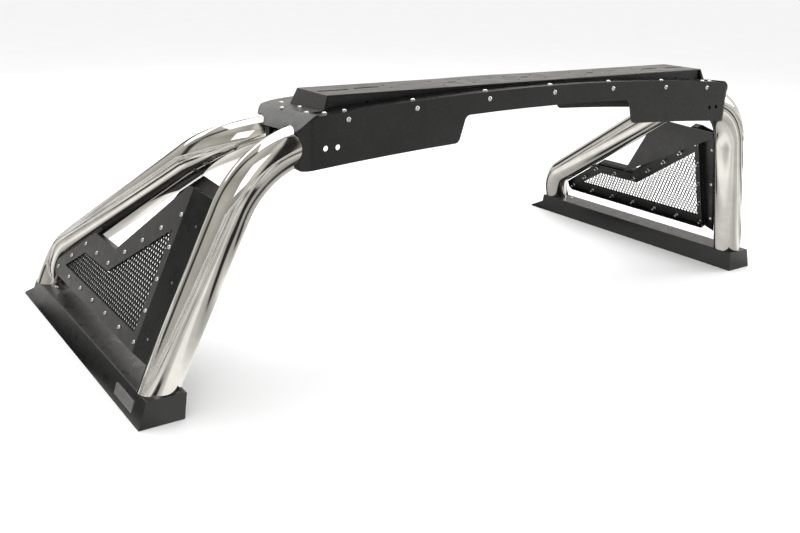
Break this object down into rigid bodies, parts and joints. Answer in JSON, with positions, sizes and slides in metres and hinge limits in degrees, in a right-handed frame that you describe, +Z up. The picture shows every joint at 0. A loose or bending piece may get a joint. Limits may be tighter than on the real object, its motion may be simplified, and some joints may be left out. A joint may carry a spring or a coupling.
{
  "type": "headache rack",
  "caption": "Arched crossbar on polished tube legs over two truck bed rail covers, with triangular mesh side panels and a slotted light platform on top.",
  "frame": {"origin": "centre of the footprint at the height of the truck's bed rails", "axes": "+X across the truck to its right side, -Y towards the cab, +Z up"},
  "size_m": [1.874, 0.9275, 0.604],
  "materials": {
    "black_coat": "fine textured black powder coat, semi-gloss",
    "mesh_black": "black coated expanded mesh, semi-gloss",
    "polished_steel": "mirror polished stainless tube",
    "bright_fastener": "bright stainless",
    "plated_steel": "zinc plated steel",
    "black_rubber": "matt black rubber",
    "badge_silver": "satin silver plate, blank"
  },
  "bodies": {
    "root": {"badge_plate_left": "badge_silver", "base_cover_left": "black_coat", "base_cover_right": "black_coat", "cover_screws_left": "bright_fastener", "cover_screws_right": "bright_fastener", "end_bridge_left": "black_coat", "end_bridge_right": "black_coat", "end_cap_left": "black_coat", "end_cap_right": "black_coat", "end_plate_left": "black_coat", "end_plate_right": "black_coat", "front_leg_left": "polished_steel", "front_leg_right": "polished_steel", "front_leg_socket_left": "black_coat", "front_leg_socket_right": "black_coat", "front_plate": "black_coat", "front_plug_left": "plated_steel", "front_plug_right": "plated_steel", "front_post_left": "plated_steel", "front_post_right": "plated_steel", "front_screws": "bright_fastener", "ledge_screws": "bright_fastener", "leg_bolts_left": "bright_fastener", "leg_bolts_right": "bright_fastener", "leg_gusset_left": "black_coat", "leg_gusset_right": "black_coat", "mesh_retainer_left": "black_coat", "mesh_retainer_right": "black_coat", "mount_plate_left": "plated_steel", "mount_plate_right": "plated_steel", "panel_frame_left": "black_coat", "panel_frame_right": "black_coat", "panel_mesh_left": "mesh_black", "panel_mesh_right": "mesh_black", "panel_nuts_left": "bright_fastener", "panel_nuts_right": "bright_fastener", "panel_screws_left": "bright_fastener", "panel_screws_right": "bright_fastener", "panel_standoffs_left": "plated_steel", "panel_standoffs_right": "plated_steel", "panel_wing_left": "black_coat", "panel_wing_right": "black_coat", "rail_gasket_left": "black_rubber", "rail_gasket_right": "black_rubber", "rear_leg_left": "polished_steel", "rear_leg_right": "polished_steel", "rear_leg_socket_left": "black_coat", "rear_leg_socket_right": "black_coat", "rear_plate": "black_coat", "rear_plug_left": "plated_steel", "rear_plug_right": "plated_steel", "rear_post_left": "plated_steel", "rear_post_right": "plated_steel", "rear_screws": "bright_fastener", "top_platform": "black_coat", "top_skin": "black_coat", "wing_screws_left": "bright_fastener", "wing_screws_right": "bright_fastener", "wing_strip_left": "black_coat", "wing_strip_right": "black_coat"}
  },
  "joints": []
}
